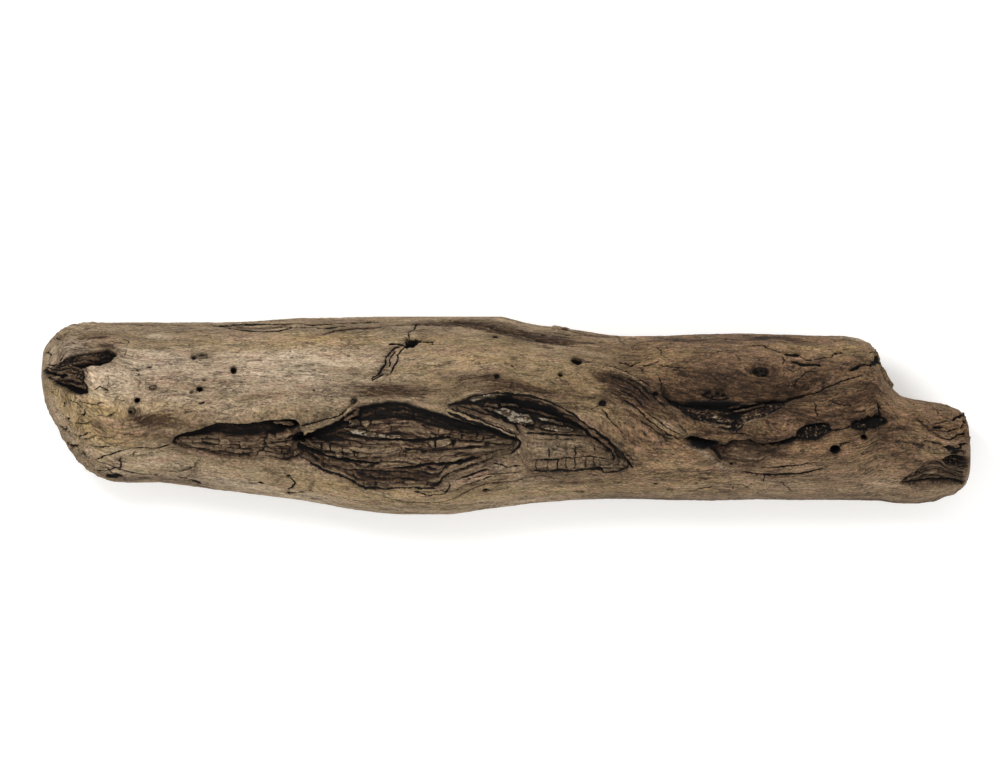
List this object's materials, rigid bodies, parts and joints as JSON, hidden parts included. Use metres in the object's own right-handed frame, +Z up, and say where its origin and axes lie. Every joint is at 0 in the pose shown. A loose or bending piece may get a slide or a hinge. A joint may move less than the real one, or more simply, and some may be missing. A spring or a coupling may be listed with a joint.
{
  "type": "driftwood log",
  "caption": "Weathered driftwood log with rotted-out hollows, beetle holes and a broken end, lying on its worn underside.",
  "frame": {"origin": "on the floor under the middle of the log", "axes": "+X along the log towards its broken, stepped end, +Z up through the hollowed face, Y across"},
  "size_m": [0.465, 0.0989, 0.0879],
  "materials": {
    "driftwood": "dry, grey-brown sea-worn wood, darker in its hollows"
  },
  "bodies": {
    "root": {"driftwood_log": "driftwood"}
  },
  "joints": []
}
